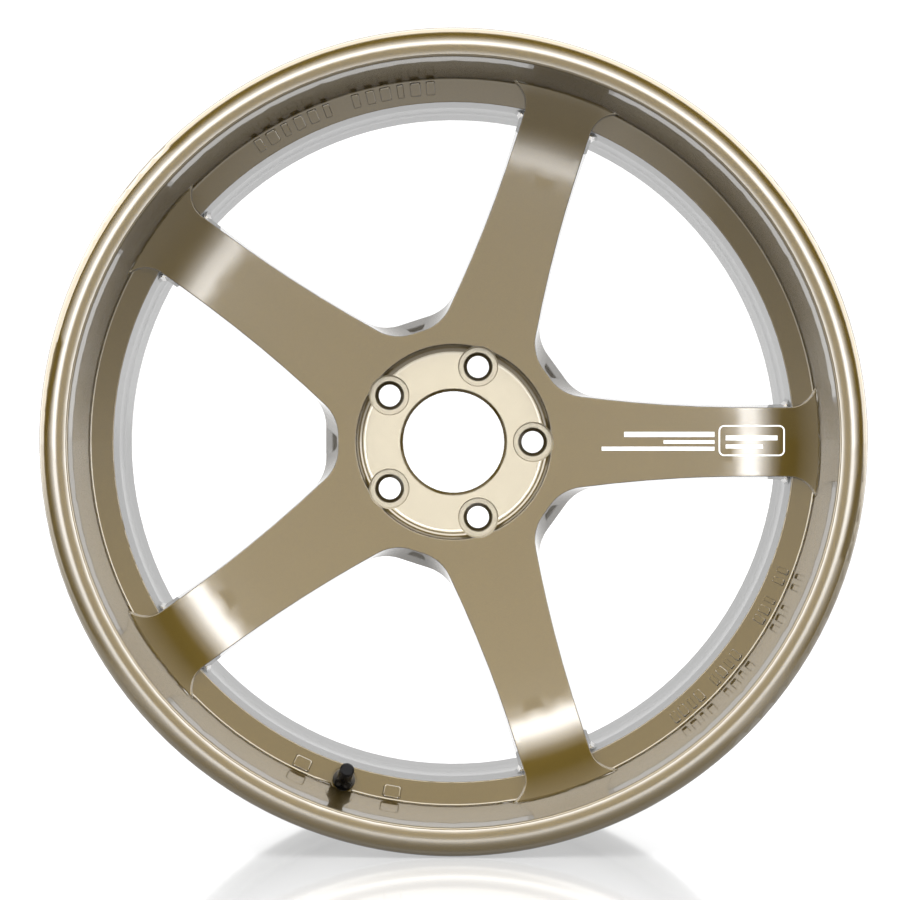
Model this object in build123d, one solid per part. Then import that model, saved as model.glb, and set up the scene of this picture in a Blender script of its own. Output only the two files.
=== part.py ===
"""Forged five-spoke racing wheel rim, 21 x 10.5 inch, with a snap-in tyre valve.

The wheel is drawn lying face up: X and Y across it, height up towards its front. Everything is turned at
the end so that the wheel stands with its axis along Y and its face towards -Y. The origin is the middle
of the rim. Depths are counted rearwards from the front flange. Lengths are in millimetres.
"""

import math
import os

from build123d import *

os.makedirs("parts", exist_ok=True)

# Rim
bead_seat_radius = 266.7
width_between_flanges = 266.7
flange_height = 17.5
flange_thickness = 12.65
flange_curl = 5.2
flange_edge_round = 6.3
overall_width = width_between_flanges + 2 * flange_thickness
flange_radius = bead_seat_radius + flange_height
bead_seat_length = 20.0
bead_seat_slope = math.radians(5)
hump_height = 1.2
lip_inner_radius = 263.7
lip_crown_radius = 272.6
lip_crown_arc = 32.0
wall_top_depth = 4.0
wall_foot_radius = 258.0
wall_foot_depth = 60.0
well_radius = 242.0
ledge_slope = math.radians(26)
sheet_thickness = 5.0
rear_lip_radius = 259.2

# Disc with its five spokes
spoke_count = 5
spoke_pitch = 360 / spoke_count
recess_radius = 70.0
recess_depth = 86.0
recess_corner = 7.0
face_depth = 78.0
face_end_radius = 200.0
face_start_slope = math.radians(2.0)
face_end_slope = math.radians(5.5)
ramp_arc = 175.0
ramp_foot_round = 5.0
wall_bite = 4.0
spoke_waist = 25.3
spoke_waist_place = 205.0
spoke_side_arc = 885.0
window_inner = 82.0
window_hub_round = 30.0
window_rim_round = 18.0
window_rear_round = 5.0
window_edge_round = 0.6
hub_wall_flare = 13.0 / 32.0
side_wall_draft = 2.5 / 32.0
mount_depth = 109.0
mount_pad_radius = 77.5

# Hub holes
bore_radius = 36.5
bore_front_chamfer = 2.3
lug_circle_radius = 114.3 / 2
lug_hole_radius = 7.95
lug_seat_radius = 10.6
lug_seat_angle = math.radians(30)
lug_pocket_radius = 14.5
lug_pocket_depth = 91.5

# Valve
valve_angle = 252.0
valve_radius = 252.3
valve_hole_radius = 5.65

front = overall_width / 2
face_arc = (face_end_radius - recess_radius) / (math.sin(face_end_slope) - math.sin(face_start_slope))
face_end_depth = face_depth - face_arc * (math.cos(face_start_slope) - math.cos(face_end_slope))
face_start = (math.cos(face_start_slope), math.sin(face_start_slope))
ledge_edge_depth = wall_foot_depth + (wall_foot_radius - well_radius) * math.tan(ledge_slope)
stand_up = Rot(X=90)


def section(points, crown=None):
    """Outline from (radius, depth) points; a crown point closes it with an arc instead of a line."""
    corners = [(r, front - depth) for r, depth in points]
    if crown is None:
        return make_face(Polyline(corners, close=True))
    top = (crown[0], front - crown[1])
    return make_face([Polyline(corners), ThreePointArc(corners[-1], top, corners[0])])


def rounded(face, places):
    """The outline with each listed (radius, depth, round) corner rounded."""
    for r, depth, size in places:
        corner = face.vertices().sort_by_distance((r, front - depth, 0))[0]
        face = fillet(corner, size)
    return face


def turned(face):
    """The outline turned round the wheel's axis."""
    return revolve(Plane.XZ * face, Axis.Z)


def write(name, shape):
    """One sub-part, stood up into the wheel's frame."""
    export_step(stand_up * shape, f"parts/{name}.step")


# The rim: flanges, bead seats, dish wall, ledge, well and rear barrel


def rim_barrel():
    seat_drop = bead_seat_length * math.tan(bead_seat_slope)
    hump_radius = bead_seat_radius - seat_drop + hump_height
    front_heel = flange_thickness
    rear_heel = overall_width - flange_thickness
    back_r = sheet_thickness * math.sin(ledge_slope)
    back_depth = sheet_thickness * math.cos(ledge_slope)
    shoulder_radius = 264.2
    foot_to_shoulder = shoulder_radius - wall_foot_radius - back_r
    shoulder_depth = wall_foot_depth + back_depth - foot_to_shoulder * math.tan(ledge_slope)
    well_outer = well_radius + sheet_thickness
    shoulder_to_well = wall_foot_radius + back_r - well_outer
    well_front = wall_foot_depth + back_depth + shoulder_to_well * math.tan(ledge_slope)
    outer_drop = lip_crown_arc - math.sqrt(lip_crown_arc**2 - (flange_radius - lip_crown_radius) ** 2)
    inner_drop = lip_crown_arc - math.sqrt(lip_crown_arc**2 - (lip_crown_radius - lip_inner_radius) ** 2)
    outline = section(
        [
            (flange_radius, outer_drop),
            (flange_radius, front_heel),
            (bead_seat_radius, front_heel),
            (bead_seat_radius - seat_drop, front_heel + bead_seat_length),
            (hump_radius, front_heel + bead_seat_length + 4),
            (shoulder_radius + 0.4, front_heel + bead_seat_length + 11),
            (shoulder_radius, shoulder_depth),
            (well_outer, well_front),
            (well_outer, 100),
            (262.6, 238),
            (hump_radius, rear_heel - bead_seat_length - 4),
            (bead_seat_radius - seat_drop, rear_heel - bead_seat_length),
            (bead_seat_radius, rear_heel),
            (flange_radius, rear_heel),
            (flange_radius, overall_width),
            (274.0, overall_width),
            (266.0, overall_width - 4),
            (rear_lip_radius, overall_width - 4),
            (rear_lip_radius - 0.8, 240),
            (well_radius, 98),
            (well_radius, ledge_edge_depth),
            (wall_foot_radius, wall_foot_depth),
            (lip_inner_radius, wall_top_depth),
            (lip_inner_radius, inner_drop),
        ],
        crown=(lip_crown_radius, 0),
    )
    outline = rounded(
        outline,
        [
            (lip_inner_radius, inner_drop, 2.2),
            (flange_radius, outer_drop, flange_edge_round),
            (flange_radius, front_heel, flange_curl),
            (flange_radius, rear_heel, flange_curl),
            (bead_seat_radius, front_heel, 5.0),
            (hump_radius, front_heel + bead_seat_length + 4, 4.0),
            (shoulder_radius, shoulder_depth, 4.0),
            (well_outer, well_front, 8.0),
            (well_outer, 100, 60.0),
            (hump_radius, rear_heel - bead_seat_length - 4, 4.0),
            (bead_seat_radius, rear_heel, 5.0),
            (flange_radius, overall_width, 4.0),
            (274.0, overall_width, 3.0),
            (266.0, overall_width - 4, 3.0),
            (rear_lip_radius, overall_width - 4, 1.5),
            (well_radius, 98, 60.0),
            (well_radius, ledge_edge_depth, 1.2),
            (wall_foot_radius, wall_foot_depth, 3.0),
        ],
    )
    return turned(outline)


# The disc: hub recess, slightly dished face, ramp up to the dish wall, and the rear of the spokes


def disc_blank():
    recess_edge = (recess_radius, front - face_depth)
    face_end = (face_end_radius, front - face_end_depth)
    foot_slope = math.asin(math.sin(face_end_slope) + (wall_foot_radius - face_end_radius) / ramp_arc)
    ramp_rise = ramp_arc * (math.cos(face_end_slope) - math.cos(foot_slope))
    ramp_end = (wall_foot_radius, face_end[1] + ramp_rise)
    inside_wall = wall_foot_radius + wall_bite
    curve = [
        Line((0, front - recess_depth), (recess_radius, front - recess_depth)),
        Line((recess_radius, front - recess_depth), recess_edge),
        JernArc(recess_edge, face_start, face_arc, math.degrees(face_end_slope - face_start_slope)),
        JernArc(
            face_end,
            (math.cos(face_end_slope), math.sin(face_end_slope)),
            ramp_arc,
            math.degrees(foot_slope - face_end_slope),
        ),
        Polyline(
            ramp_end,
            (inside_wall, ramp_end[1]),
            (inside_wall, front - wall_foot_depth - 0.6),
            (well_radius + 2.5, front - ledge_edge_depth - 2.7),
            (well_radius + 2.5, front - 98),
            (205, front - 92.5),
            (120, front - 101),
            (80, front - 106),
            (mount_pad_radius, front - mount_depth),
            (0, front - mount_depth),
            (0, front - recess_depth),
        ),
    ]
    outline = make_face(curve)
    outline = rounded(
        outline,
        [
            (recess_radius, recess_depth, recess_corner),
            (recess_radius, face_depth, 0.8),
            (205, 92.5, 120.0),
            (120, 101, 60.0),
        ],
    )
    return turned(outline)


def foot_ring():
    """Round in the corner where the spokes' ramp meets the dish wall, a hair under both surfaces."""
    under = 0.05
    reach = 6.0
    height = 5.0
    foot = face_height(wall_foot_radius)
    wall_lean = (lip_inner_radius - wall_foot_radius) / (wall_foot_depth - wall_top_depth)
    wall_at_foot = wall_foot_radius + wall_lean * (wall_foot_depth - front + foot)
    outside = wall_foot_radius + wall_bite
    corner = (wall_at_foot + under, foot)
    outline = make_face(
        Polyline(
            (wall_foot_radius - reach, face_height(wall_foot_radius - reach) - 0.4),
            corner,
            (wall_at_foot + under + wall_lean * height, foot + height),
            (outside, foot + height),
            (outside, foot - 2),
            (wall_foot_radius - reach, foot - 4),
            close=True,
        )
    )
    outline = fillet(outline.vertices().sort_by_distance((*corner, 0))[0], ramp_foot_round)
    return turned(outline)


def spoke_plan(waist):
    """A spoke seen from the front: two long arcs, closest to each other near the rim."""

    def half_width(place):
        return waist + (place - spoke_waist_place) ** 2 / (2 * spoke_side_arc)

    far = 2 * spoke_waist_place
    hub_corner = (0, half_width(0))
    waist_point = (spoke_waist_place, half_width(spoke_waist_place))
    side = ThreePointArc(hub_corner, waist_point, (far, half_width(far)))
    other_side = mirror(side, Plane.XZ)
    ends = [Line(side @ place, other_side @ place) for place in (0, 1)]
    return make_face([side, other_side, *ends])


def window_plan(depth, outer_radius, rim_round, setback):
    """The opening between two spokes at a depth; its walls open out towards the rear."""
    below_face = depth - face_depth
    inner = window_inner + hub_wall_flare * max(below_face, 0)
    spoke = spoke_plan(spoke_waist + side_wall_draft * below_face - setback)
    outside_hub = Pos(inner + outer_radius, 0) * Rectangle(2 * outer_radius, 3 * outer_radius)
    blank = Circle(outer_radius) & outside_hub
    blank -= Rot(Z=spoke_pitch / 2) * spoke
    blank -= Rot(Z=-spoke_pitch / 2) * spoke
    middle = blank.faces().sort_by_distance((spoke_waist_place, 0, 0))[0]
    plan = make_face(middle.outer_wire().edges())
    plan = fillet(plan.vertices().sort_by(Axis.X)[:2], window_hub_round)
    plan = fillet(plan.vertices().sort_by(Axis.X)[-2:], rim_round)
    return Pos(0, 0, front - depth) * plan.faces()[0]


def window_tool(start, end, outer_radius, rim_round, setback=0.0):
    """A window as a cutting shape; a setback makes the spokes on both sides of it that much narrower."""
    plans = [window_plan(depth, outer_radius, rim_round, setback) for depth in (start, end)]
    return loft(plans, ruled=True)


def between_spokes(shape):
    """Five copies of a shape, one in the middle of each window."""
    return [Rot(Z=spoke_pitch * (i + 0.5)) * shape for i in range(spoke_count)]


def on_spokes(shape):
    """Five copies of a shape, one on each spoke."""
    return [Rot(Z=spoke_pitch * i) * shape for i in range(spoke_count)]


def spoke_rear_pocket():
    """Lightening pocket in the back of a spoke, with a rib left along each side."""
    rib = 8.0
    start, end = 112.0, 226.0
    floor_depth = 85.0
    plan = make_face(
        Polyline(
            (start, -(spoke_waist + 5.4 - rib)),
            (end, -(spoke_waist - rib + 2)),
            (end, spoke_waist - rib + 2),
            (start, spoke_waist + 5.4 - rib),
            close=True,
        )
    )
    plan = fillet(plan.vertices(), 9.0)
    pocket = extrude(Pos(0, 0, front - floor_depth) * plan, -40, taper=-3)
    floor_edges = pocket.faces().sort_by(Axis.Z)[-1].edges()
    return fillet(floor_edges, 4.0)


def hub_rear_pocket():
    """Lightening pocket in the mounting pad, between two lug holes."""
    floor_depth = 98.0
    plan = Circle(70.0) - Circle(46.0)
    wedge = make_face(Polyline((0, 0), (90, -26), (90, 26), close=True))
    plan = plan & wedge
    plan = fillet(plan.vertices(), 4.0)
    return extrude(Pos(0, 0, front - floor_depth) * plan, -20)


def lug_hole():
    """Nut pocket, cone seat and stud hole as one cutting shape."""
    seat_depth = lug_pocket_depth + (lug_seat_radius - lug_hole_radius) / math.tan(lug_seat_angle)
    edge = 0.8
    return turned(
        section(
            [
                (0, 60),
                (lug_pocket_radius, 60),
                (lug_pocket_radius, lug_pocket_depth - edge),
                (lug_pocket_radius - edge, lug_pocket_depth),
                (lug_seat_radius, lug_pocket_depth),
                (lug_hole_radius, seat_depth),
                (lug_hole_radius, 120),
                (0, 120),
            ]
        )
    )


def hub_bore():
    rear_chamfer = 1.5
    front_cone = bore_radius + bore_front_chamfer
    return turned(
        section(
            [
                (0, recess_depth - 10),
                (front_cone, recess_depth - 10),
                (front_cone, recess_depth),
                (bore_radius, recess_depth + bore_front_chamfer),
                (bore_radius, mount_depth - rear_chamfer),
                (bore_radius + rear_chamfer + 1, mount_depth + 1),
                (0, mount_depth + 1),
            ]
        )
    )


# Valve frame: origin on the ledge, height along the valve towards the front and the wheel's axis

valve_foot_depth = wall_foot_depth + (wall_foot_radius - valve_radius) * math.tan(ledge_slope)
valve_place = (
    Rot(Z=valve_angle)
    * Pos(valve_radius, 0, front - valve_foot_depth)
    * Rot(Y=-math.degrees(ledge_slope))
)
front_spot_radius = 9.5
front_spot_height = -0.8
rear_spot_radius = 10.5
rear_spot_height = -5.0


def valve_hole():
    """Hole through the ledge with a flat spot-face on each side."""
    hole = cylinder_between(valve_hole_radius, -20, 10)
    front_spot = cylinder_between(front_spot_radius, front_spot_height, 14)
    rear_spot = cylinder_between(rear_spot_radius, -20, rear_spot_height)
    return valve_place * (hole + front_spot + rear_spot)


def cylinder_between(radius, low, high):
    return Pos(0, 0, low) * Cylinder(radius, high - low, align=(Align.CENTER, Align.CENTER, Align.MIN))


def wheel_forging():
    pocket_top_depth = 45.0
    floor_depth = face_depth + 2
    disc = disc_blank()
    ring = foot_ring()
    pocket = window_tool(pocket_top_depth, floor_depth, wall_foot_radius + 1.5, window_rim_round)
    for tool in between_spokes(pocket):
        disc -= tool
    ring_setback = window_edge_round + 0.15
    ring_gap = window_tool(
        pocket_top_depth, floor_depth, wall_foot_radius + 2.2, window_rim_round, ring_setback
    )
    for tool in between_spokes(ring_gap):
        ring -= tool
    opening = window_tool(floor_depth, 125, well_radius + 0.15, window_rear_round)
    disc = round_window_edges(disc)
    for tool in between_spokes(opening):
        disc -= tool
    for tool in on_spokes(spoke_rear_pocket()):
        disc -= tool
    for tool in between_spokes(hub_rear_pocket()):
        disc -= tool
    wheel = rim_barrel() + disc + ring
    wheel -= hub_bore()
    for tool in on_spokes(Pos(lug_circle_radius, 0, 0) * lug_hole()):
        wheel -= tool
    return wheel - valve_hole()


def face_height(reach):
    """Height of the disc's front surface at a distance from the axis."""
    if reach < face_end_radius:
        slope = math.asin(math.sin(face_start_slope) + (reach - recess_radius) / face_arc)
        return front - face_depth + face_arc * (math.cos(face_start_slope) - math.cos(slope))
    slope = math.asin(math.sin(face_end_slope) + (reach - face_end_radius) / ramp_arc)
    return front - face_end_depth + ramp_arc * (math.cos(face_end_slope) - math.cos(slope))


def round_window_edges(disc):
    """Small round on the front edge of every window."""
    edges = []
    for edge in disc.edges():
        reaches = [math.hypot(point.X, point.Y) for point in (edge @ 0, edge @ 0.5, edge @ 1)]
        on_circle = max(reaches) - min(reaches) < 0.01
        if on_circle or min(reaches) < window_inner - 1 or max(reaches) > wall_foot_radius + 2:
            continue
        if abs((edge @ 0.5).Z - face_height(reaches[1])) < 0.02:
            edges.append(edge)
    return fillet(edges, window_edge_round)


# Valve pieces, each turned round the valve's axis from (radius, height) points


def turned_piece(points):
    face = make_face(Polyline([*points], close=True))
    return revolve(Plane.XZ * face, Axis.Z)


stem_top = 22.8
stem_thread_radius = 3.87
stem_shank_radius = 3.5
stem_foot_radius = 5.2
core_thread_radius = 2.62
core_bore_radius = 2.05
pin_radius = 0.55
pin_hole_radius = 0.62
cap_radius = 5.1
cap_rim = 13.0
cap_top = 25.6
seal_pocket_radius = 3.7
seal_pocket_top = 24.0


def rubber_body():
    """Snap-in rubber: base flange, neck in the hole, shoulder and taper up the stem."""
    base = 9.25
    shoulder = 7.95
    neck = valve_hole_radius - 0.03
    top = 12.5
    outline = make_face(
        [
            Polyline(
                (core_bore_radius, -8.2),
                (base - 0.85, -8.2),
                (base, -7.2),
                (base, rear_spot_height),
                (neck, rear_spot_height),
                (neck, front_spot_height),
                (shoulder - 0.9, front_spot_height),
                (shoulder, 0.3),
                (shoulder, 1.6),
            ),
            Spline((shoulder, 1.6), (6.6, 5.6), (4.9, 10.2), tangents=((0, 1), (-0.2, 1))),
            Polyline(
                (4.9, 10.2),
                (4.8, top),
                (stem_shank_radius, top),
                (stem_shank_radius, -5.5),
                (stem_foot_radius, -5.5),
                (stem_foot_radius, -7.6),
                (core_bore_radius, -7.6),
                (core_bore_radius, -8.2),
            ),
        ]
    )
    return revolve(Plane.XZ * outline, Axis.Z)


def stem():
    """Brass stem: foot and shank inside the rubber, thread above it, stepped bore for the core."""
    chamfer = 0.6
    return turned_piece(
        [
            (core_bore_radius, -7.6),
            (stem_foot_radius, -7.6),
            (stem_foot_radius, -5.5),
            (stem_shank_radius, -5.5),
            (stem_shank_radius, 12.5),
            (stem_thread_radius - 0.4, 12.5),
            (stem_thread_radius - 0.4, 13.2),
            (stem_thread_radius, 13.6),
            (stem_thread_radius, stem_top - chamfer),
            (stem_thread_radius - chamfer, stem_top),
            (core_thread_radius + 0.2, stem_top),
            (core_thread_radius, stem_top - 0.2),
            (core_thread_radius, 16.8),
            (core_bore_radius, 15.4),
        ]
    )


def core_plug():
    """Threaded head of the core, cut down to a bridge with two driver flats at its top."""
    body = turned_piece([(pin_hole_radius, 17.2), (2.6, 17.2), (2.6, 21.8), (pin_hole_radius, 21.8)])
    half_bridge = 1.3
    flat = Pos(half_bridge, 0, 19.8) * Box(1.9, 8, 4, align=(Align.MIN, Align.CENTER, Align.MIN))
    return body - flat - mirror(flat, Plane.YZ)


def core_packing():
    """Seal ring of the core, pressed on the conical seat in the stem."""
    return turned_piece([(1.5, 15.5), (2.05, 15.5), (2.55, 16.75), (2.55, 17.2), (1.5, 17.2)])


def core_sleeve():
    """Tube that guides the pin and holds the spring."""
    return turned_piece(
        [
            (pin_hole_radius, 16.0),
            (pin_hole_radius, 17.2),
            (1.5, 17.2),
            (1.5, 15.5),
            (1.75, 15.5),
            (1.75, 9.0),
            (0.8, 9.0),
            (0.8, 9.8),
            (1.35, 9.8),
            (1.35, 16.0),
        ]
    )


def core_pin():
    """Long pin with the collar that the spring pushes on."""
    return turned_piece(
        [
            (0, 7.4),
            (pin_radius, 7.4),
            (pin_radius, 14.8),
            (1.2, 14.8),
            (1.2, 15.4),
            (pin_radius, 15.4),
            (pin_radius, 21.9),
            (0.35, 22.3),
            (0, 22.3),
        ]
    )


def core_cup():
    """Cup fixed on the pin's inner end."""
    outside = [(pin_radius, 7.6), (1.7, 7.6), (1.7, 8.7)]
    inside = [(1.5, 8.7), (1.5, 8.0), (pin_radius, 8.0)]
    return turned_piece(outside + inside)


def core_seat_seal():
    """Rubber ring in the cup that closes on the sleeve's end."""
    return turned_piece([(pin_radius, 8.0), (1.5, 8.0), (1.5, 8.97), (pin_radius, 8.97)])


def core_spring():
    """Coil spring between the sleeve's inner end and the pin's collar."""
    wire = 0.12
    coil = 0.95
    low, high = 9.8 + wire, 14.8 - wire
    turns = 7
    path = Pos(0, 0, low) * Helix((high - low) / turns, high - low, coil)
    wire_end = Plane(origin=path @ 0, z_dir=path % 0)
    return sweep(wire_end * Circle(wire), path, is_frenet=True)


def cap_seal():
    """Rubber disc in the top of the cap, clear of it all round."""
    return cylinder_between(seal_pocket_radius - 0.18, stem_top + 0.05, seal_pocket_top - 0.12)


def valve_cap():
    """Screw cap with grip flutes."""
    flute_count = 18
    bore = stem_thread_radius + 0.06
    body = turned_piece(
        [
            (0, seal_pocket_top),
            (seal_pocket_radius, seal_pocket_top),
            (seal_pocket_radius, stem_top),
            (bore, stem_top),
            (bore, cap_rim),
            (cap_radius - 0.4, cap_rim),
            (cap_radius, cap_rim + 0.4),
            (cap_radius, cap_top - 1.2),
            (cap_radius - 1.2, cap_top),
            (0, cap_top),
        ]
    )
    flute = Pos(cap_radius + 0.25, 0, 0) * cylinder_between(0.5, cap_rim + 1.5, cap_top - 2.4)
    for i in range(flute_count):
        body -= Rot(Z=360 * i / flute_count) * flute
    return body


# Decal: a thin film on one spoke, made of a framed block of bars and a few plain stripes


def decal_plan():
    frame_line = 1.0
    frame_round = 4.0
    frame_width = 22.0
    bars = Sketch()
    for start, end in [(189, 202), (205, 219), (222, 235)]:
        length = end - start
        outer = Rectangle(length, frame_width)
        inner = Rectangle(length - 2 * frame_line, frame_width - 2 * frame_line)
        frame = fillet(outer.vertices(), frame_round) - fillet(inner.vertices(), frame_round - frame_line)
        bars += Pos((start + end) / 2, 1) * frame
    for start, end, low, high in [(122, 186, 3.6, 7.2), (150, 186, -1.2, 1.2), (106, 186, -6.2, -3.4)]:
        bars += Pos((start + end) / 2, (low + high) / 2) * Rectangle(end - start, high - low)
    return bars


def spoke_decal():
    film = 0.15
    start, end = 90.0, face_end_radius + 45
    slope_end = math.asin(math.sin(face_end_slope) + (end - face_end_radius) / ramp_arc)
    face_end = (face_end_radius, front - face_end_depth)
    recess_edge = (recess_radius, front - face_depth)
    low_face = JernArc(recess_edge, face_start, face_arc, math.degrees(face_end_slope - face_start_slope))
    low_ramp = JernArc(
        face_end,
        (math.cos(face_end_slope), math.sin(face_end_slope)),
        ramp_arc,
        math.degrees(slope_end - face_end_slope),
    )
    high_face = Pos(0, film) * low_face
    high_ramp = Pos(0, film) * low_ramp
    skin = make_face(
        [
            low_face,
            low_ramp,
            Line(low_ramp @ 1, high_ramp @ 1),
            high_ramp,
            high_face,
            Line(high_face @ 0, low_face @ 0),
        ]
    )
    skin = turned(skin)
    shape = extrude(Pos(0, 0, front - start) * decal_plan(), 60)
    return skin & shape


write("wheel_forging", wheel_forging())
write("valve_rubber_body", valve_place * rubber_body())
write("valve_stem", valve_place * stem())
write("core_plug", valve_place * core_plug())
write("core_packing", valve_place * core_packing())
write("core_sleeve", valve_place * core_sleeve())
write("core_pin", valve_place * core_pin())
write("core_cup", valve_place * core_cup())
write("core_seat_seal", valve_place * core_seat_seal())
write("core_spring", valve_place * core_spring())
write("valve_cap", valve_place * valve_cap())
write("cap_seal", valve_place * cap_seal())
write("spoke_decal", spoke_decal())
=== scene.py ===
"""Studio scene for the forged racing wheel rim: finishes, ledge marks, decal, light and camera.

Everything is in metres in the wheel's frame: the axis runs along Y, the face looks towards -Y, Z is up.
"""

import math

import bmesh
import bpy
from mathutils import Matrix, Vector
from mathutils.bvhtree import BVHTree


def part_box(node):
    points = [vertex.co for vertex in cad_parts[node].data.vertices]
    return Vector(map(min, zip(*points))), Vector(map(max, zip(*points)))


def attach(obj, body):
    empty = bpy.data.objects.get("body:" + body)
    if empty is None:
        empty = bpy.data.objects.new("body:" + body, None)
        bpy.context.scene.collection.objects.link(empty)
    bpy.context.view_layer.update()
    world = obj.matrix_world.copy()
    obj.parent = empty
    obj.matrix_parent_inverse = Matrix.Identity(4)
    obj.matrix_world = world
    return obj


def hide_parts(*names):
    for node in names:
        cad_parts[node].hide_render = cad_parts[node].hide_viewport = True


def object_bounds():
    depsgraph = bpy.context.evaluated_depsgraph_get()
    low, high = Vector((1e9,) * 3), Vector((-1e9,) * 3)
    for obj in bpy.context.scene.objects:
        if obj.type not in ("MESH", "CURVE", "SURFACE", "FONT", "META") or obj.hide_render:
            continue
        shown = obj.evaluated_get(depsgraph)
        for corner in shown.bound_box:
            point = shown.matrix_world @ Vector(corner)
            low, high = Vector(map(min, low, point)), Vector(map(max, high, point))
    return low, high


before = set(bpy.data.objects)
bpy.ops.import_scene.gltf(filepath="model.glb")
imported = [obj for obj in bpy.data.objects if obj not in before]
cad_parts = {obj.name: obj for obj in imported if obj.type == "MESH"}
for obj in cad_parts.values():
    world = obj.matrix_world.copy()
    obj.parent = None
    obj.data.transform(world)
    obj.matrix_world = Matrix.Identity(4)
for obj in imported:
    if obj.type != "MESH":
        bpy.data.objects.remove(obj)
cad_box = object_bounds()

# The wheel's own places, from its front flange
front_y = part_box("wheel_forging")[0][1]
ledge_slope = math.radians(26)
ledge_foot_radius = 0.258
ledge_edge_radius = 0.242
ledge_foot_y = front_y + 0.060
ledge_edge_y = ledge_foot_y + (ledge_foot_radius - ledge_edge_radius) * math.tan(ledge_slope)
hub_floor_y = front_y + 0.086
lug_floor_y = front_y + 0.0915
hub_pad_reach = 0.0735
barrel_start_y = ledge_edge_y + 0.0015
barrel_start_radius = ledge_edge_radius - 0.0011

# The section's three large arcs
recess_radius = 0.070
face_depth = 0.078
face_end_radius = 0.200
face_start_slope = math.radians(2.0)
face_end_slope = math.radians(5.5)
ramp_arc = 0.175
lip_crown_radius = 0.2726
lip_crown_arc = 0.032
on_arc_margin = 0.000004
smooth_angle = math.radians(20)

# Ledge marks: name, first and last angle in degrees, inner and outer radius, number of places
mark_rows = [
    ("ledge_marks_top", 92.5, 124.3, 0.2470, 0.2564, 13),
    ("ledge_marks_right_low", 308.0, 323.8, 0.2470, 0.2550, 9),
    ("ledge_marks_right", 329.0, 339.5, 0.2470, 0.2550, 6),
]
mark_height = 0.0012
single_marks = [("ledge_mark_left", 244.8), ("ledge_mark_valve", 260.0)]
single_mark_width = 0.013
single_mark_reach = (0.2478, 0.2562)
single_mark_height = 0.0011

# Decal: the frame's two ends and its line, and each bar's ends and edges
decal_lift = 0.00008
decal_frame = (0.189, 0.235)
decal_line = 0.001
decal_corner = 0.004
decal_bars = [
    (0.122, 0.186, 0.0036, 0.0072),
    (0.150, 0.186, -0.0012, 0.0012),
    (0.106, 0.186, -0.0062, -0.0034),
    (0.194, 0.230, 0.0012, 0.0046),
    (0.194, 0.220, -0.0046, -0.0018),
]
bar_step = 0.004

# Studio
light_rings = [
    (0, 1.5),
    (4, 1.8),
    (6.5, 5.0),
    (9, 12.0),
    (13.5, 12.0),
    (17.5, 5.5),
    (21.5, 1.4),
    (25, 0.02),
    (31, 0.02),
    (38, 0.6),
    (43, 1.1),
    (50, 1.5),
    (54, 7.0),
    (74, 7.0),
    (82, 6.0),
    (118, 6.0),
    (128, 1.3),
    (180, 1.15),
]
light_strength = 16.0
floor_reach = 60
floor_gap = 0.0005
camera_distance = 1.738
camera_lens = 93.26
camera_shift = (-0.004, -0.0089)


# Node helpers


def new_material(name):
    material = bpy.data.materials.new(name)
    material.use_nodes = True
    return material, material.node_tree, material.node_tree.nodes["Principled BSDF"]


def add_node(tree, kind, **settings):
    node = tree.nodes.new(kind)
    for key, value in settings.items():
        setattr(node, key, value)
    return node


def math_node(tree, operation, *inputs):
    """A Math node whose inputs are numbers or sockets; returns its output."""
    node = add_node(tree, "ShaderNodeMath", operation=operation)
    for i, value in enumerate(inputs):
        if isinstance(value, (int, float)):
            node.inputs[i].default_value = value
        else:
            tree.links.new(value, node.inputs[i])
    return node.outputs[0]


def wheel_coordinates(tree):
    """The socket with the wheel's own coordinates."""
    return add_node(tree, "ShaderNodeTexCoord").outputs["Object"]


def place_in_wheel(tree, coordinates):
    """Sockets for the distance from the axis and the place along it."""
    split = add_node(tree, "ShaderNodeSeparateXYZ")
    tree.links.new(coordinates, split.inputs[0])
    x, y, z = split.outputs
    square = math_node(tree, "ADD", math_node(tree, "MULTIPLY", x, x), math_node(tree, "MULTIPLY", z, z))
    return math_node(tree, "SQRT", square), y


def near_level(tree, along, level, margin):
    """1 where the place along the axis is within a margin of a level."""
    off = math_node(tree, "ABSOLUTE", math_node(tree, "SUBTRACT", along, level))
    return math_node(tree, "LESS_THAN", off, margin)


def noise(tree, coordinates, scale, detail=2.0, roughness=0.5):
    node = add_node(tree, "ShaderNodeTexNoise")
    node.inputs["Scale"].default_value = scale
    node.inputs["Detail"].default_value = detail
    node.inputs["Roughness"].default_value = roughness
    tree.links.new(coordinates, node.inputs["Vector"])
    return node.outputs["Fac"]


def mix_colors(tree, factor, first, second):
    """Mixes two colours, each a tuple or a socket."""
    node = add_node(tree, "ShaderNodeMix", data_type="RGBA")
    tree.links.new(factor, node.inputs["Factor"])
    for socket, value in ((node.inputs["A"], first), (node.inputs["B"], second)):
        if isinstance(value, tuple):
            socket.default_value = (*value, 1.0)
        else:
            tree.links.new(value, socket)
    return node.outputs["Result"]


def stretched(tree, value, low, high, out_low, out_high):
    node = add_node(tree, "ShaderNodeMapRange")
    tree.links.new(value, node.inputs["Value"])
    for name, number in (("From Min", low), ("From Max", high), ("To Min", out_low), ("To Max", out_high)):
        node.inputs[name].default_value = number
    return node.outputs["Result"]


def bump(tree, height, distance, strength, before=None):
    node = add_node(tree, "ShaderNodeBump")
    node.inputs["Distance"].default_value = distance
    node.inputs["Strength"].default_value = strength
    tree.links.new(height, node.inputs["Height"])
    if before is not None:
        tree.links.new(before, node.inputs["Normal"])
    return node.outputs["Normal"]


# Finishes


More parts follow.
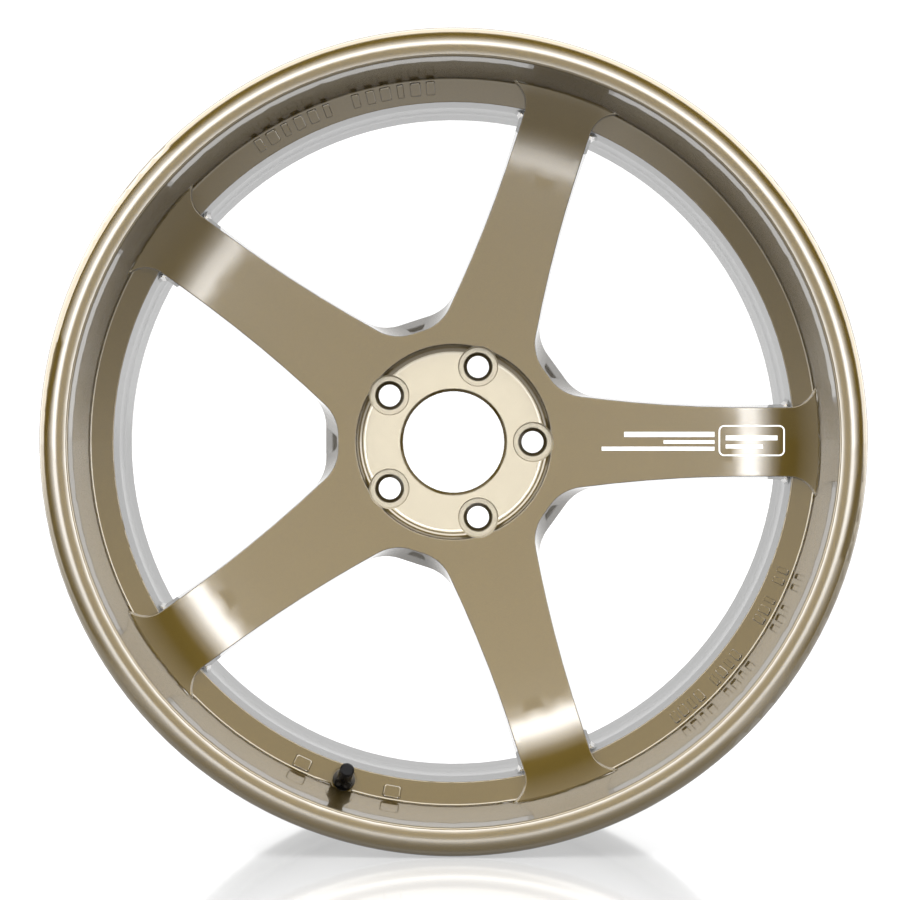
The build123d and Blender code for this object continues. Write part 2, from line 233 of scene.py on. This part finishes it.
def gold_paint():
    """Champagne gold metallic under clear coat; the hub pad and lug seats get a light cream painted
    highlight, with turned lines in the bump.
    """
    material, tree, shader = new_material("champagne_gold")
    coordinates = wheel_coordinates(tree)
    reach, along = place_in_wheel(tree, coordinates)
    flake = noise(tree, coordinates, 2600.0, 1.0)
    cloud = noise(tree, coordinates, 9.0, 3.0)
    sparkle = stretched(tree, flake, 0.35, 0.65, 0.0, 1.0)
    gold = mix_colors(tree, sparkle, (0.065, 0.0435, 0.0095), (0.085, 0.057, 0.0125))
    gold = mix_colors(tree, stretched(tree, cloud, 0.3, 0.7, 0.0, 0.35), gold, (0.078, 0.053, 0.0125))

    inside_pad = math_node(tree, "LESS_THAN", reach, hub_pad_reach)
    on_pad = near_level(tree, along, hub_floor_y, 0.0004)
    on_seats = near_level(tree, along, lug_floor_y, 0.0009)
    pad_with_painted_highlight = math_node(tree, "MULTIPLY", inside_pad, math_node(tree, "ADD", on_pad, on_seats))
    # Painted highlight: a light cream base colour on the hub pad and lug-seat floors stands in for the
    # bright reflection on them
    color = mix_colors(tree, pad_with_painted_highlight, gold, (0.34, 0.30, 0.22))
    tree.links.new(color, shader.inputs["Base Color"])

    base_rough = stretched(tree, flake, 0.3, 0.7, 0.36, 0.46)
    roughness = math_node(tree, "ADD", base_rough, math_node(tree, "MULTIPLY", pad_with_painted_highlight, 0.1))
    tree.links.new(roughness, shader.inputs["Roughness"])
    rings = math_node(tree, "SINE", math_node(tree, "MULTIPLY", reach, 9000.0))
    peel = bump(tree, noise(tree, coordinates, 420.0, 1.0), 0.00003, 0.25)
    turned_lines = bump(tree, math_node(tree, "MULTIPLY", rings, pad_with_painted_highlight), 0.00002, 0.4, peel)
    tree.links.new(turned_lines, shader.inputs["Normal"])
    shader.inputs["Metallic"].default_value = 0.9
    shader.inputs["Specular IOR Level"].default_value = 0.0
    shader.inputs["Coat Weight"].default_value = 1.0
    shader.inputs["Coat Roughness"].default_value = 0.03
    shader.inputs["Coat IOR"].default_value = 1.8
    return material


def silver_paint():
    """Silver metallic of the barrel behind the ledge."""
    material, tree, shader = new_material("barrel_silver")
    coordinates = wheel_coordinates(tree)
    flake = noise(tree, coordinates, 2600.0, 1.0)
    sparkle = stretched(tree, flake, 0.35, 0.65, 0.0, 1.0)
    color = mix_colors(tree, sparkle, (0.115, 0.115, 0.112), (0.135, 0.135, 0.131))
    tree.links.new(color, shader.inputs["Base Color"])
    tree.links.new(stretched(tree, flake, 0.3, 0.7, 0.36, 0.46), shader.inputs["Roughness"])
    tree.links.new(bump(tree, noise(tree, coordinates, 420.0, 1.0), 0.00003, 0.25), shader.inputs["Normal"])
    shader.inputs["Metallic"].default_value = 0.9
    shader.inputs["Specular IOR Level"].default_value = 0.0
    shader.inputs["Coat Weight"].default_value = 0.35
    shader.inputs["Coat Roughness"].default_value = 0.12
    return material


def black_rubber():
    """Moulded rubber of the valve's body."""
    material, tree, shader = new_material("black_rubber")
    coordinates = wheel_coordinates(tree)
    grain = noise(tree, coordinates, 1800.0, 3.0)
    color = mix_colors(tree, grain, (0.002, 0.002, 0.0022), (0.004, 0.004, 0.0042))
    tree.links.new(color, shader.inputs["Base Color"])
    tree.links.new(stretched(tree, grain, 0.3, 0.7, 0.2, 0.34), shader.inputs["Roughness"])
    tree.links.new(bump(tree, grain, 0.00003, 0.3), shader.inputs["Normal"])
    shader.inputs["Specular IOR Level"].default_value = 0.1
    shader.inputs["Coat Weight"].default_value = 0.25
    shader.inputs["Coat Roughness"].default_value = 0.06
    return material


def cap_plastic():
    """Satin black plastic of the valve's cap."""
    material, tree, shader = new_material("cap_plastic")
    coordinates = wheel_coordinates(tree)
    grain = noise(tree, coordinates, 3200.0, 2.0)
    color = mix_colors(tree, grain, (0.002, 0.002, 0.0022), (0.004, 0.004, 0.0042))
    tree.links.new(color, shader.inputs["Base Color"])
    tree.links.new(stretched(tree, grain, 0.3, 0.7, 0.30, 0.42), shader.inputs["Roughness"])
    tree.links.new(bump(tree, grain, 0.00002, 0.35), shader.inputs["Normal"])
    shader.inputs["Specular IOR Level"].default_value = 0.12
    return material


def turned_metal(name, dark, light, rough):
    """Machined metal with fine tool marks."""
    material, tree, shader = new_material(name)
    coordinates = wheel_coordinates(tree)
    marks = noise(tree, coordinates, 5200.0, 2.0)
    stain = noise(tree, coordinates, 350.0, 3.0)
    color = mix_colors(tree, stretched(tree, stain, 0.35, 0.7, 0.0, 1.0), light, dark)
    tree.links.new(color, shader.inputs["Base Color"])
    tree.links.new(stretched(tree, marks, 0.3, 0.7, rough - 0.07, rough + 0.08), shader.inputs["Roughness"])
    tree.links.new(bump(tree, marks, 0.00001, 0.4), shader.inputs["Normal"])
    shader.inputs["Metallic"].default_value = 1.0
    return material


def soft_seal(name, dark, light):
    """Dull rubber of a seal."""
    material, tree, shader = new_material(name)
    coordinates = wheel_coordinates(tree)
    grain = noise(tree, coordinates, 4200.0, 3.0)
    tree.links.new(mix_colors(tree, grain, dark, light), shader.inputs["Base Color"])
    tree.links.new(stretched(tree, grain, 0.3, 0.7, 0.5, 0.66), shader.inputs["Roughness"])
    tree.links.new(bump(tree, grain, 0.00002, 0.3), shader.inputs["Normal"])
    return material


def printed_film():
    """White printed film with a slight unevenness in the ink."""
    material, tree, shader = new_material("printed_film")
    coordinates = wheel_coordinates(tree)
    ink = noise(tree, coordinates, 900.0, 3.0)
    unevenness = stretched(tree, ink, 0.3, 0.7, 0.0, 1.0)
    color = mix_colors(tree, unevenness, (0.80, 0.80, 0.79), (0.88, 0.88, 0.87))
    tree.links.new(color, shader.inputs["Base Color"])
    tree.links.new(stretched(tree, ink, 0.3, 0.7, 0.28, 0.38), shader.inputs["Roughness"])
    tree.links.new(bump(tree, ink, 0.00001, 0.2), shader.inputs["Normal"])
    return material


def floor_paint():
    """White floor with a painted glow, strongest just before the wheel and weaker under and behind it, that
    lightens the shade there.
    """
    material, tree, shader = new_material("studio_floor")
    coordinates = wheel_coordinates(tree)
    along = place_in_wheel(tree, coordinates)[1]
    speckle = noise(tree, coordinates, 60.0, 3.0)
    color = mix_colors(tree, speckle, (0.135, 0.135, 0.135), (0.145, 0.145, 0.145))
    tree.links.new(color, shader.inputs["Base Color"])
    # Painted glow: emission on the floor near the wheel lightens its contact shadow and the shade under it
    glow_start = stretched(tree, along, -0.80, -0.60, 0.0, 1.0)
    glow_fall = stretched(tree, along, -0.50, -0.38, 0.0, 0.58)
    painted_glow_near_wheel = math_node(tree, "SUBTRACT", glow_start, glow_fall)
    shader.inputs["Emission Color"].default_value = (1.0, 1.0, 1.0, 1.0)
    tree.links.new(painted_glow_near_wheel, shader.inputs["Emission Strength"])
    shader.inputs["Roughness"].default_value = 0.08
    return material


# Mesh helpers


def new_piece(name, mesh_data, material, body):
    mesh = bpy.data.meshes.new(name)
    mesh_data.to_mesh(mesh)
    mesh_data.free()
    piece = bpy.data.objects.new(name, mesh)
    bpy.context.collection.objects.link(piece)
    piece.data.materials.append(material)
    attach(piece, body)
    return piece


def dress(node, material):
    """Gives a carried-over CAD node its finish."""
    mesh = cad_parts[node].data
    mesh.materials.clear()
    mesh.materials.append(material)


# The wheel's own mesh with exact normals, so that the clear coat's reflections run without kinks


def turned_arcs():
    """The three large arcs of the wheel's section: middle radius, middle y, arc radius, side of the skin."""
    start_y = front_y + face_depth
    face_arc = (face_end_radius - recess_radius) / (math.sin(face_end_slope) - math.sin(face_start_slope))
    end_y = start_y - face_arc * (math.cos(face_start_slope) - math.cos(face_end_slope))
    face = (
        recess_radius - face_arc * math.sin(face_start_slope),
        start_y - face_arc * math.cos(face_start_slope),
        face_arc,
        -1.0,
    )
    ramp = (
        face_end_radius - ramp_arc * math.sin(face_end_slope),
        end_y - ramp_arc * math.cos(face_end_slope),
        ramp_arc,
        -1.0,
    )
    lip = (lip_crown_radius, front_y + lip_crown_arc, lip_crown_arc, 1.0)
    return [face, ramp, lip]


def exact_normal(place, rough_normal, arcs):
    """The true normal where a point lies on one of the arcs, and otherwise the one from its faces."""
    reach = math.hypot(place.x, place.z)
    for middle_radius, middle_y, radius, side in arcs:
        out = reach - middle_radius
        along = place.y - middle_y
        if reach > 0 and abs(math.hypot(out, along) - radius) < on_arc_margin:
            radial = side * out / radius
            true = Vector((radial * place.x / reach, side * along / radius, radial * place.z / reach))
            if true.dot(rough_normal) > 0.97:
                return true
    return rough_normal


def smooth_groups(mesh):
    """Corners of the mesh at one point, grouped where their faces run smoothly into each other."""
    normals = [None] * len(mesh.vertices)
    areas = [0.0] * len(mesh.vertices)
    for face in mesh.polygons:
        for corner in face.loop_indices:
            vertex = mesh.loops[corner].vertex_index
            normals[vertex] = mesh.corner_normals[corner].vector.copy()
            areas[vertex] += face.area
    places = {}
    for vertex in mesh.vertices:
        key = tuple(round(c * 500000) for c in vertex.co)
        places.setdefault(key, []).append(vertex.index)
    for members in places.values():
        groups = []
        for vertex in sorted(members, key=lambda i: -areas[i]):
            for group in groups:
                if group[1].normalized().dot(normals[vertex]) > math.cos(smooth_angle):
                    group[0].append(vertex)
                    group[1] += normals[vertex] * areas[vertex]
                    break
            else:
                groups.append([[vertex], normals[vertex] * (areas[vertex] + 1e-12)])
        yield from groups


def in_barrel(mesh, face):
    """Whether a face lies behind the ledge and outside the spokes."""
    middle = face.center
    return middle.y > barrel_start_y and math.hypot(middle.x, middle.z) > barrel_start_radius


def finished_wheel(paint, barrel_paint):
    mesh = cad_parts["wheel_forging"].data.copy()
    arcs = turned_arcs()
    normals = [Vector((0, -1, 0))] * len(mesh.vertices)
    for members, total in smooth_groups(mesh):
        normal = exact_normal(mesh.vertices[members[0]].co, total.normalized(), arcs)
        for vertex in members:
            normals[vertex] = normal
    mesh.normals_split_custom_set_from_vertices(normals)
    mesh.materials.clear()
    mesh.materials.append(paint)
    mesh.materials.append(barrel_paint)
    for face in mesh.polygons:
        face.material_index = int(in_barrel(mesh, face))
    wheel = bpy.data.objects.new("wheel_finished", mesh)
    bpy.context.collection.objects.link(wheel)
    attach(wheel, "wheel")
    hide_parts("wheel_forging")


# Marks on the ledge: plain raised blocks in place of lettering


def ledge_point(reach, angle, lift):
    """A point over the ledge, lifted along its normal."""
    along = ledge_foot_y + (ledge_foot_radius - reach) * math.tan(ledge_slope) - lift * math.cos(ledge_slope)
    radial = reach - lift * math.sin(ledge_slope)
    return Vector((radial * math.cos(angle), along, radial * math.sin(angle)))


def raised_block(mesh_data, middle_angle, width, inner, outer, height):
    """A block with a softly rounded outline that follows the ledge."""
    middle = (inner + outer) / 2
    half_length = (outer - inner) / 2
    half_width = width / 2
    corner = min(half_width, half_length) * 0.35
    outline = []
    for side_x, side_r, start in ((1, 1, 0), (-1, 1, 90), (-1, -1, 180), (1, -1, 270)):
        for step in range(5):
            turn = math.radians(start + 22.5 * step)
            across = side_x * (half_width - corner) + corner * math.cos(turn)
            out = side_r * (half_length - corner) + corner * math.sin(turn)
            outline.append((across, out))
    levels = ((1.0, -0.0003), (0.98, height * 0.35), (0.90, height * 0.85), (0.80, height))
    rings = []
    for scale, lift in levels:
        ring = []
        for across, out in outline:
            angle = middle_angle + scale * across / middle
            ring.append(mesh_data.verts.new(ledge_point(middle + scale * out, angle, lift)))
        rings.append(ring)
    count = len(outline)
    for low, high in zip(rings, rings[1:]):
        for i in range(count):
            j = (i + 1) % count
            mesh_data.faces.new((low[i], low[j], high[j], high[i]))
    mesh_data.faces.new(rings[-1])
    mesh_data.faces.new(list(reversed(rings[0])))


def ledge_marks(material):
    """Rows of blocks of uneven width along the ledge."""
    for name, start, end, inner, outer, count in mark_rows:
        mesh_data = bmesh.new()
        step = math.radians(end - start) / count
        for i in range(count):
            if i == count // 2:
                continue
            width = step * inner * (0.62 + 0.16 * math.sin(2.4 * i))
            raised_block(mesh_data, math.radians(start) + step * (i + 0.5), width, inner, outer, mark_height)
        finish_marks(name, mesh_data, material)
    for name, angle in single_marks:
        mesh_data = bmesh.new()
        place = math.radians(angle)
        raised_block(mesh_data, place, single_mark_width, *single_mark_reach, single_mark_height)
        finish_marks(name, mesh_data, material)


def finish_marks(name, mesh_data, material):
    bmesh.ops.recalc_face_normals(mesh_data, faces=mesh_data.faces)
    new_piece(name, mesh_data, material, "wheel")


# Decal on the spoke at the right, laid on the wheel's own surface


def wheel_surface():
    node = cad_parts["wheel_forging"]
    mesh = node.data
    points = [node.matrix_world @ vertex.co for vertex in mesh.vertices]
    return BVHTree.FromPolygons(points, [tuple(face.vertices) for face in mesh.polygons])


def decal_patch(mesh_data, surface, outline, lift):
    """A closed outline of (x, z) points laid on the wheel as a thin film."""
    bottom = []
    top = []
    for x, z in outline:
        hit = surface.ray_cast(Vector((x, front_y - 0.05, z)), Vector((0, 1, 0)))[0]
        bottom.append(mesh_data.verts.new(hit + Vector((0, lift * 0.2, 0))))
        top.append(mesh_data.verts.new(hit - Vector((0, lift, 0))))
    return bottom, top


def strip(mesh_data, surface, start, end, low, high, lift):
    """A straight printed bar, cut across at short steps so that it bends with the spoke."""
    steps = max(2, round((end - start) / bar_step))
    rows = []
    for i in range(steps + 1):
        x = start + (end - start) * i / steps
        bottom, top = decal_patch(mesh_data, surface, [(x, low), (x, high)], lift)
        rows.append((bottom[0], bottom[1], top[1], top[0]))
    for first, second in zip(rows, rows[1:]):
        for i in range(4):
            j = (i + 1) % 4
            mesh_data.faces.new((first[i], first[j], second[j], second[i]))
    mesh_data.faces.new(rows[0])
    mesh_data.faces.new(rows[-1])


def rounded_frame(mesh_data, surface, start, end, low, high, line, corner, lift):
    """An outlined box with round corners."""
    rows = []
    middle = ((start + end) / 2, (low + high) / 2)
    for inset in (0.0, line):
        half_x = (end - start) / 2 - inset
        half_z = (high - low) / 2 - inset
        radius = corner - inset
        outline = []
        for side_x, side_z, turn_start in ((1, 1, 0), (-1, 1, 90), (-1, -1, 180), (1, -1, 270)):
            for step in range(7):
                turn = math.radians(turn_start + 15 * step)
                outline.append(
                    (
                        middle[0] + side_x * (half_x - radius) + radius * math.cos(turn),
                        middle[1] + side_z * (half_z - radius) + radius * math.sin(turn),
                    )
                )
        rows.append(decal_patch(mesh_data, surface, outline, lift))
    (outer_bottom, outer_top), (inner_bottom, inner_top) = rows
    count = len(outer_top)
    for i in range(count):
        j = (i + 1) % count
        mesh_data.faces.new((outer_top[i], outer_top[j], inner_top[j], inner_top[i]))
        mesh_data.faces.new((outer_bottom[i], inner_bottom[i], inner_bottom[j], outer_bottom[j]))
        mesh_data.faces.new((outer_bottom[i], outer_bottom[j], outer_top[j], outer_top[i]))
        mesh_data.faces.new((inner_bottom[j], inner_bottom[i], inner_top[i], inner_top[j]))


def spoke_decal(material):
    surface = wheel_surface()
    low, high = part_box("spoke_decal")
    mesh_data = bmesh.new()
    rounded_frame(mesh_data, surface, *decal_frame, low[2], high[2], decal_line, decal_corner, decal_lift)
    for start, end, bar_low, bar_high in decal_bars:
        strip(mesh_data, surface, start, end, bar_low, bar_high, decal_lift)
    bmesh.ops.recalc_face_normals(mesh_data, faces=mesh_data.faces)
    film = new_piece("decal_print", mesh_data, material, "wheel")
    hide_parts("spoke_decal")


# Lights, world, floor and camera


def studio_world():
    """Softboxes as rings of light round the viewing axis, and a white backdrop behind the wheel."""
    world = bpy.data.worlds.new("studio")
    world.use_nodes = True
    bpy.context.scene.world = world
    tree = world.node_tree
    split = add_node(tree, "ShaderNodeSeparateXYZ")
    tree.links.new(add_node(tree, "ShaderNodeTexCoord").outputs["Generated"], split.inputs[0])
    turn = math_node(tree, "ARCCOSINE", math_node(tree, "MULTIPLY", split.outputs["Y"], -1.0))
    ramp = add_node(tree, "ShaderNodeValToRGB")
    elements = ramp.color_ramp.elements
    elements[0].position = 0.0
    elements[1].position = 1.0
    for angle, value in light_rings[1:-1]:
        elements.new(angle / 180)
    for element, (angle, value) in zip(elements, light_rings):
        element.color = (*[value / light_strength] * 3, 1.0)
    tree.links.new(math_node(tree, "DIVIDE", turn, math.pi), ramp.inputs["Fac"])
    background = tree.nodes["Background"]
    background.inputs["Strength"].default_value = light_strength
    tree.links.new(ramp.outputs["Color"], background.inputs["Color"])


def floor(material):
    mesh_data = bmesh.new()
    level = cad_box[0][2] - floor_gap
    corners = [(-1, -1), (1, -1), (1, 1), (-1, 1)]
    points = [(x * floor_reach, y * floor_reach, level) for x, y in corners]
    mesh_data.faces.new([mesh_data.verts.new(point) for point in points])
    mesh = bpy.data.meshes.new("floor")
    mesh_data.to_mesh(mesh)
    mesh_data.free()
    plane = bpy.data.objects.new("floor", mesh)
    bpy.context.collection.objects.link(plane)
    plane.data.materials.append(material)


def camera():
    data = bpy.data.cameras.new("camera")
    data.sensor_width = 36.0
    data.lens = camera_lens
    data.shift_x, data.shift_y = camera_shift
    data.clip_start = 0.01
    data.clip_end = 500.0
    view = bpy.data.objects.new("camera", data)
    bpy.context.collection.objects.link(view)
    view.location = (0.0, -camera_distance, 0.0)
    view.rotation_euler = (math.radians(90), 0, 0)
    bpy.context.scene.camera = view


gold = gold_paint()
brass = turned_metal("brass", (0.42, 0.26, 0.09), (0.72, 0.52, 0.22), 0.3)
rubber = black_rubber()
seal = soft_seal("seal_rubber", (0.012, 0.012, 0.012), (0.03, 0.03, 0.03))
dress("wheel_forging", gold)
dress("valve_rubber_body", rubber)
dress("valve_cap", cap_plastic())
for name in ("valve_stem", "core_plug", "core_sleeve", "core_pin", "core_cup"):
    dress(name, brass)
dress("core_spring", turned_metal("spring_wire", (0.32, 0.32, 0.33), (0.55, 0.55, 0.56), 0.25))
dress("core_packing", soft_seal("packing_red", (0.35, 0.03, 0.02), (0.5, 0.06, 0.04)))
dress("core_seat_seal", seal)
dress("cap_seal", seal)
film = printed_film()
dress("spoke_decal", film)
finished_wheel(gold, silver_paint())
ledge_marks(gold)
spoke_decal(film)
floor(floor_paint())
studio_world()
camera()
bpy.context.scene.view_settings.view_transform = "Standard"
